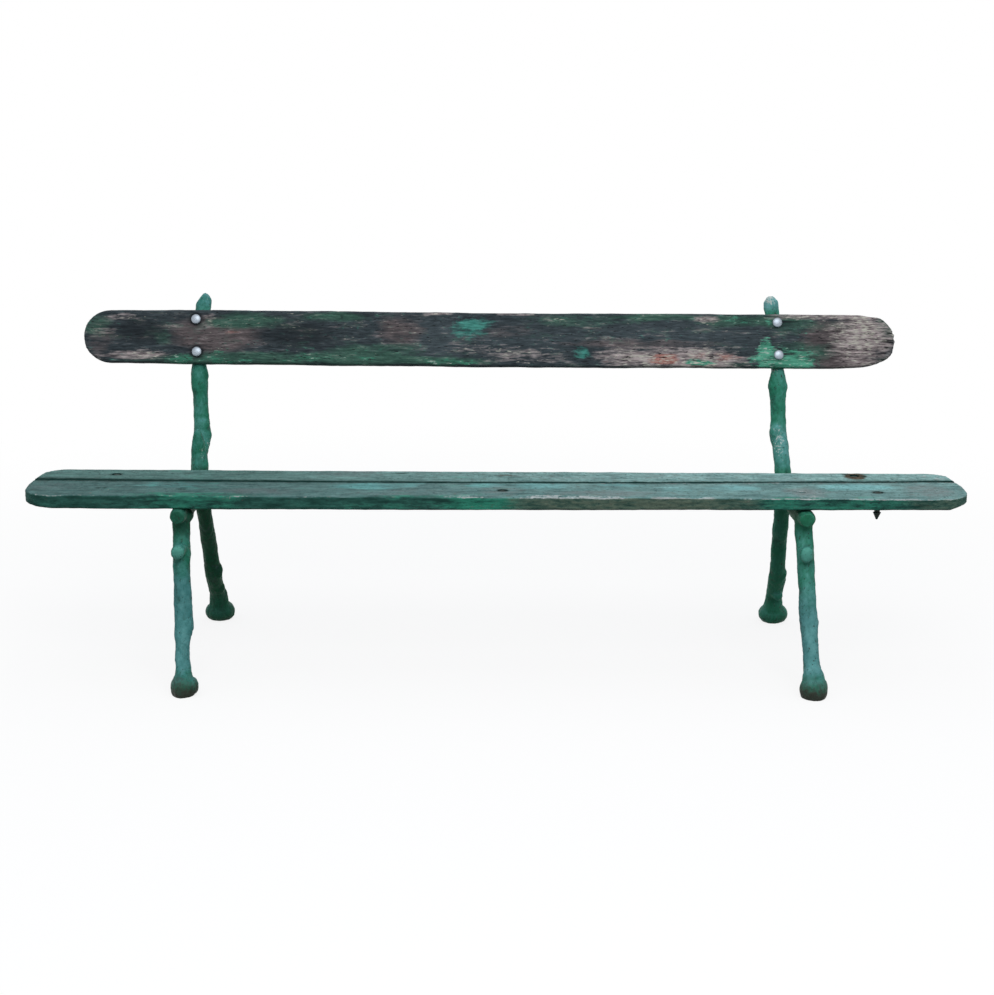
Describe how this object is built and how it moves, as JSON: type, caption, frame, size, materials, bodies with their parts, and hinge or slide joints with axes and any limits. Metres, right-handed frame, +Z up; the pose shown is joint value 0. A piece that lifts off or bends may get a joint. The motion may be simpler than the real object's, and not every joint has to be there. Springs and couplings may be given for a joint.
{
  "type": "park bench",
  "caption": "Garden bench with plank seat and leaning plank backrest in worn green paint, bolted to cast-iron side frames shaped like knotty tree branches.",
  "frame": {"origin": "on the ground, in the middle of the bench's length and depth", "axes": "+X along the bench's length to the right as seen from the front, +Y to the back, +Z up"},
  "size_m": [2.094, 0.6316, 0.8114],
  "materials": {
    "seat_paint": "worn blue-green paint on timber",
    "worn_wood": "bare weathered timber with remnants of green paint",
    "green_iron": "green paint over cast iron, lumpy and chipped",
    "zinc": "zinc-plated steel, slightly dull",
    "painted_steel": "overpainted, dirty steel with rust"
  },
  "bodies": {
    "root": {"seat_plank_front": "seat_paint", "seat_plank_rear": "seat_paint", "backrest_plank": "worn_wood", "side_frame_left": "green_iron", "side_frame_right": "green_iron", "tie_strap_left": "painted_steel", "tie_strap_middle": "painted_steel", "tie_strap_right": "painted_steel", "backrest_left_upper_bolt": "zinc", "backrest_left_upper_washer": "zinc", "backrest_left_upper_nut": "zinc", "backrest_left_lower_bolt": "zinc", "backrest_left_lower_washer": "zinc", "backrest_left_lower_nut": "zinc", "backrest_right_upper_bolt": "zinc", "backrest_right_upper_washer": "zinc", "backrest_right_upper_nut": "zinc", "backrest_right_lower_bolt": "zinc", "backrest_right_lower_washer": "zinc", "backrest_right_lower_nut": "zinc", "seat_left_front_bolt": "painted_steel", "seat_left_front_washer": "painted_steel", "seat_left_front_nut": "painted_steel", "seat_left_rear_bolt": "painted_steel", "seat_left_rear_washer": "painted_steel", "seat_left_rear_nut": "painted_steel", "seat_right_front_bolt": "painted_steel", "seat_right_front_washer": "painted_steel", "seat_right_front_nut": "painted_steel", "seat_right_rear_bolt": "painted_steel", "seat_right_rear_washer": "painted_steel", "seat_right_rear_nut": "painted_steel", "strap_left_front_bolt": "painted_steel", "strap_left_front_nut": "painted_steel", "strap_left_rear_bolt": "painted_steel", "strap_left_rear_nut": "painted_steel", "strap_middle_front_bolt": "painted_steel", "strap_middle_front_nut": "painted_steel", "strap_middle_rear_bolt": "painted_steel", "strap_middle_rear_nut": "painted_steel", "coach_screw": "painted_steel", "strap_right_rear_bolt": "painted_steel", "strap_right_rear_nut": "painted_steel"}
  },
  "joints": []
}
